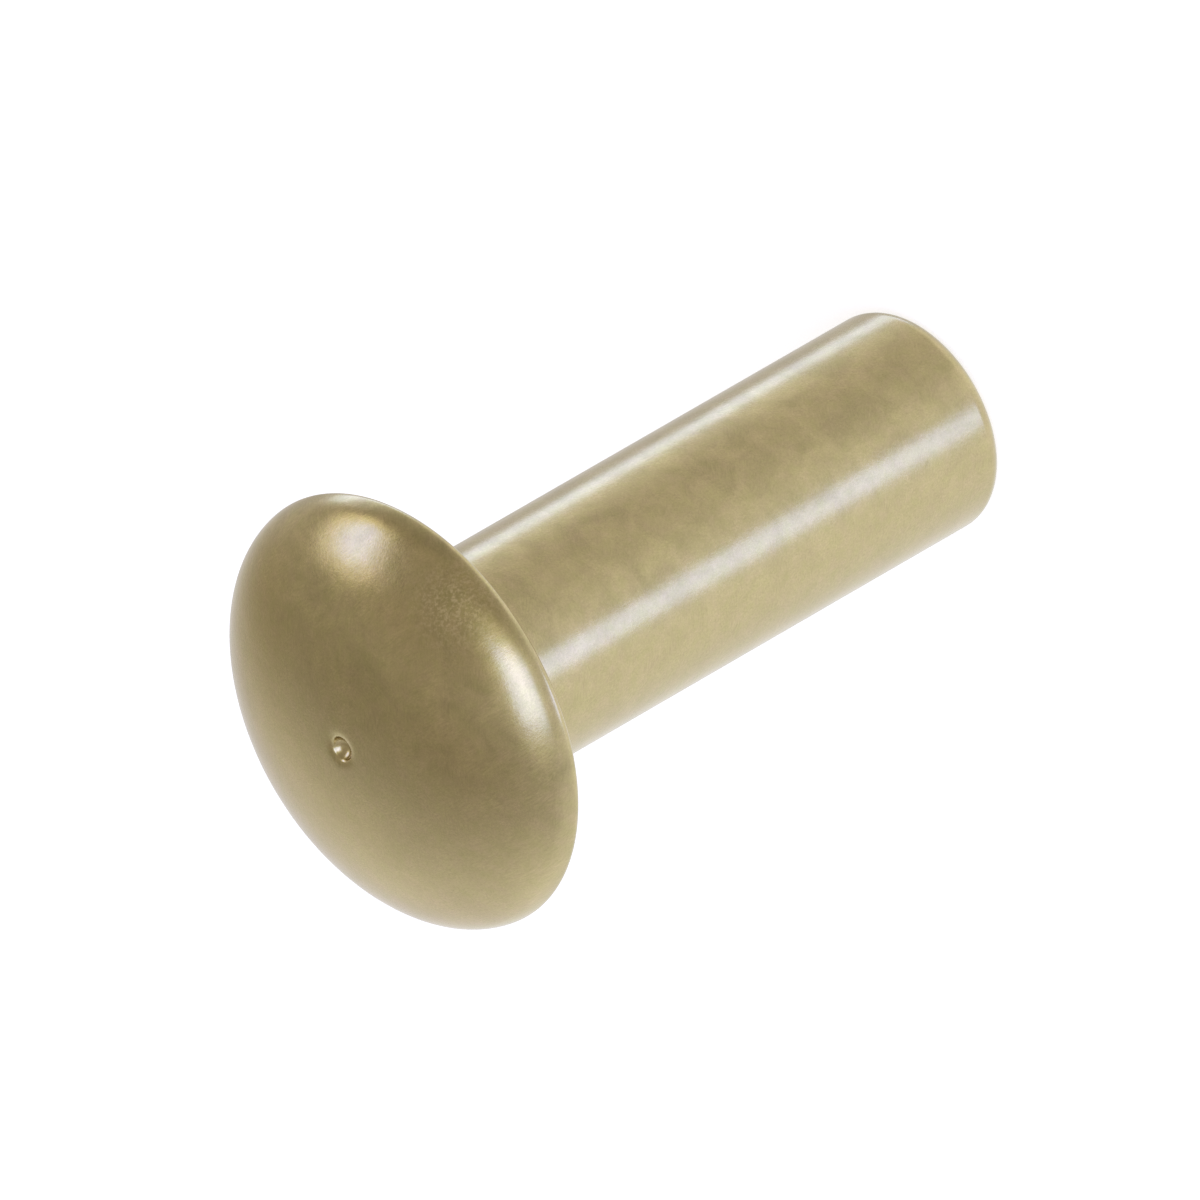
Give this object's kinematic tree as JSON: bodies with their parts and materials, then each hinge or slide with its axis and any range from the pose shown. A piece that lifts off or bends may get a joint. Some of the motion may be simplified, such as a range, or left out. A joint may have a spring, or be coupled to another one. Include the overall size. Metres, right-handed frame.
{
  "type": "universal head rivet",
  "caption": "Solid rivet with a low domed round head, a dimpled crown and a plain round shank that is driven through a hole and upset to clamp sheets.",
  "frame": {"origin": "centre of the bearing face, the flat ring under the head that seats on the sheet", "axes": "+Z along the rivet's axis, out through the crown of the head; the shank runs down -Z"},
  "size_m": [0.0062, 0.0062, 0.0109],
  "materials": {
    "gold_coated_aluminium": "satin, with a thin olive-gold conversion coating"
  },
  "bodies": {
    "root": {"solid_rivet": "gold_coated_aluminium"}
  },
  "joints": []
}
